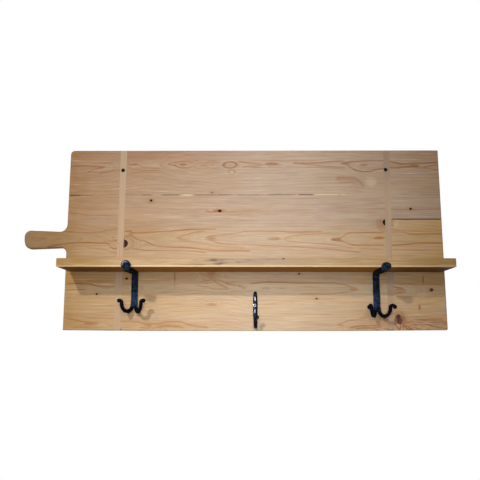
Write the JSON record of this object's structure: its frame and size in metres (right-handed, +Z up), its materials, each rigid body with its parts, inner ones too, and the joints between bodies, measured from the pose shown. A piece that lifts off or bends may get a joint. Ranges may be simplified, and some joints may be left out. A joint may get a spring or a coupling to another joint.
{
  "type": "wall plate rack",
  "caption": "Pine board with a handle at one end, hung on a wall as a rack: a narrow shelf across it on forged iron brackets whose ends are hooks, and a small hook between them.",
  "frame": {"origin": "on the back face of the board, in the middle of the plank that runs out into the handle", "axes": "+X to the right along the board as seen from the front, +Y into the wall, +Z up"},
  "size_m": [1.115, 0.1976, 0.4872],
  "materials": {
    "plank_top": "old waxed pine, satin",
    "plank_second": "old waxed pine, satin",
    "plank_handle": "old waxed pine, satin",
    "plank_bottom": "old waxed pine, satin",
    "batten": "paler pine, matte",
    "shelf_board": "golden pine, matte",
    "forged_iron": "hammered, black, satin",
    "hook_iron": "black, glossy",
    "wall_screw": "blued, satin",
    "iron_screw": "black, satin",
    "bright_screw": "zinc plated, bright",
    "steel_screw": "plain steel, dull",
    "nail": "plain steel, dull"
  },
  "bodies": {
    "root": {"plank_top": "plank_top", "plank_second": "plank_second", "plank_handle": "plank_handle", "plank_bottom": "plank_bottom", "batten_left": "batten", "batten_right": "batten", "shelf_board": "shelf_board", "bracket_left": "forged_iron", "bracket_right": "forged_iron", "centre_hook": "hook_iron", "centre_hook_screw": "bright_screw", "wall_screw_left": "wall_screw", "wall_screw_right": "wall_screw", "bracket_screw_left_upper": "iron_screw", "bracket_screw_left_lower": "iron_screw", "bracket_screw_right_upper": "iron_screw", "bracket_screw_right_lower": "iron_screw", "arm_screw_left": "iron_screw", "arm_screw_right": "iron_screw", "shelf_screw_left": "steel_screw", "shelf_screw_middle": "steel_screw", "shelf_screw_right": "steel_screw", "batten_pin": "nail"}
  },
  "joints": []
}
